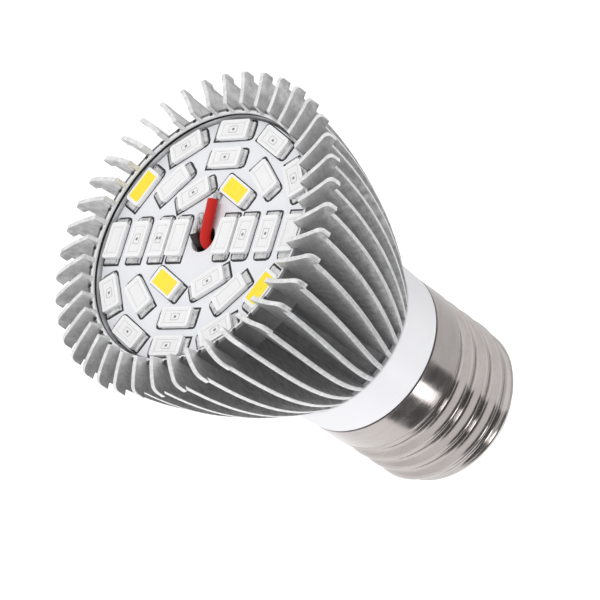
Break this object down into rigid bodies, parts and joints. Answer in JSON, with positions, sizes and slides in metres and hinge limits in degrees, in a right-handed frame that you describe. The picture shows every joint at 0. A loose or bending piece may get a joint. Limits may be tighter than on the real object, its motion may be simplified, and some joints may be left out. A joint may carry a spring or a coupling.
{
  "type": "grow light bulb",
  "caption": "Spotlight-shaped LED grow light bulb: curved-fin aluminium heat sink, round white LED board, white collar and Edison screw cap.",
  "frame": {"origin": "centre of the flat of the centre contact, at the end of the screw cap", "axes": "+Z along the bulb's axis, from the centre contact out of the lit face; +X along the middle row of LEDs"},
  "size_m": [0.05, 0.05, 0.0675],
  "materials": {
    "aluminium": "bright cast aluminium, machined front edges, satin sides",
    "board_white": "white solder mask with thin black printed outlines",
    "led_housing": "white moulded LED package",
    "led_window": "milky clear silicone fill",
    "phosphor": "yellow phosphor fill",
    "tin": "tinned metal and solder",
    "contact_metal": "plated contact button",
    "insulator_black": "black glass-like insulator",
    "nickel": "bright nickel plate, rolled thread",
    "collar_white": "glossy white moulded plastic",
    "board_green": "green circuit board",
    "capacitor_sleeve": "dark shrink sleeve",
    "ferrite": "dark grey ferrite drum",
    "epoxy_black": "black moulded epoxy",
    "film_capacitor": "dipped red-brown coating",
    "resistor_body": "grey-green lacquer",
    "red_insulation": "red wire insulation",
    "black_insulation": "black wire insulation"
  },
  "bodies": {
    "root": {"black_wire": "black_insulation", "bridge_rectifier": "epoxy_black", "bulk_capacitor": "capacitor_sleeve", "centre_contact": "contact_metal", "collar": "collar_white", "driver_board": "board_green", "driver_chip": "epoxy_black", "film_capacitor": "film_capacitor", "fuse_resistor": "resistor_body", "heat_sink": "aluminium", "inductor": "ferrite", "led_01": "led_housing", "led_02": "led_housing", "led_03": "led_housing", "led_04": "led_housing", "led_05": "led_housing", "led_06": "led_housing", "led_07": "led_housing", "led_08": "led_housing", "led_09": "led_housing", "led_10": "led_housing", "led_11": "led_housing", "led_12": "led_housing", "led_13": "led_housing", "led_14": "led_housing", "led_15": "led_housing", "led_16": "led_housing", "led_17": "led_housing", "led_18": "led_housing", "led_19": "led_housing", "led_20": "led_housing", "led_21": "led_housing", "led_22": "led_housing", "led_23": "led_housing", "led_24": "led_housing", "led_25": "led_housing", "led_26": "led_housing", "led_27": "led_housing", "led_28": "led_housing", "led_board": "board_white", "led_phosphors": "phosphor", "led_terminals": "tin", "led_windows": "led_window", "live_lead": "tin", "neutral_lead": "tin", "output_capacitor": "capacitor_sleeve", "red_wire": "red_insulation", "screw_shell": "nickel", "shell_insulator": "insulator_black", "solder_joints": "tin", "wire_strands": "tin"}
  },
  "joints": []
}
